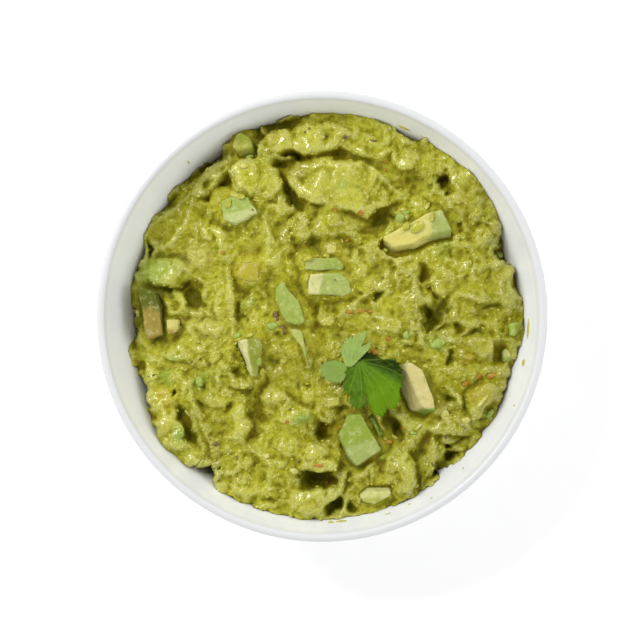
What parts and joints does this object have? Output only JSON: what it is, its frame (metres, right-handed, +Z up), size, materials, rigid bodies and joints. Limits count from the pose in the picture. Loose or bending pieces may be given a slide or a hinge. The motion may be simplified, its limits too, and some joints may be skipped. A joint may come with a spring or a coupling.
{
  "type": "guacamole in a bowl",
  "caption": "Round white ceramic bowl filled with chunky guacamole, with cut avocado pieces and a coriander leaf on its folded surface.",
  "frame": {"origin": "centre of the foot ring, on the surface that the bowl stands on", "axes": "+Z up along the bowl's axis, +X to the right and +Y away from a person looking down at the bowl"},
  "size_m": [0.152, 0.152, 0.062],
  "materials": {
    "bowl_glaze": "gloss",
    "guacamole": "satin",
    "avocado_cream": "satin",
    "avocado_green": "satin",
    "avocado_shaded": "satin",
    "coriander": "satin"
  },
  "bodies": {
    "root": {"bowl": "bowl_glaze", "guacamole": "guacamole", "coriander_leaf": "coriander", "avocado_chunk_1": "avocado_cream", "avocado_chunk_2": "avocado_green", "avocado_chunk_3": "avocado_green", "avocado_chunk_4": "avocado_green", "avocado_chunk_5": "avocado_green", "avocado_chunk_6": "avocado_cream", "avocado_chunk_7": "avocado_cream", "avocado_chunk_8": "avocado_shaded", "avocado_chunk_9": "avocado_shaded", "avocado_chunk_10": "avocado_cream", "avocado_chunk_11": "avocado_green", "avocado_chunk_12": "avocado_green", "avocado_chunk_13": "avocado_shaded", "avocado_chunk_14": "avocado_cream", "avocado_chunk_15": "avocado_cream", "avocado_chunk_16": "avocado_green", "avocado_chunk_17": "avocado_green", "avocado_chunk_18": "avocado_cream"}
  },
  "joints": []
}
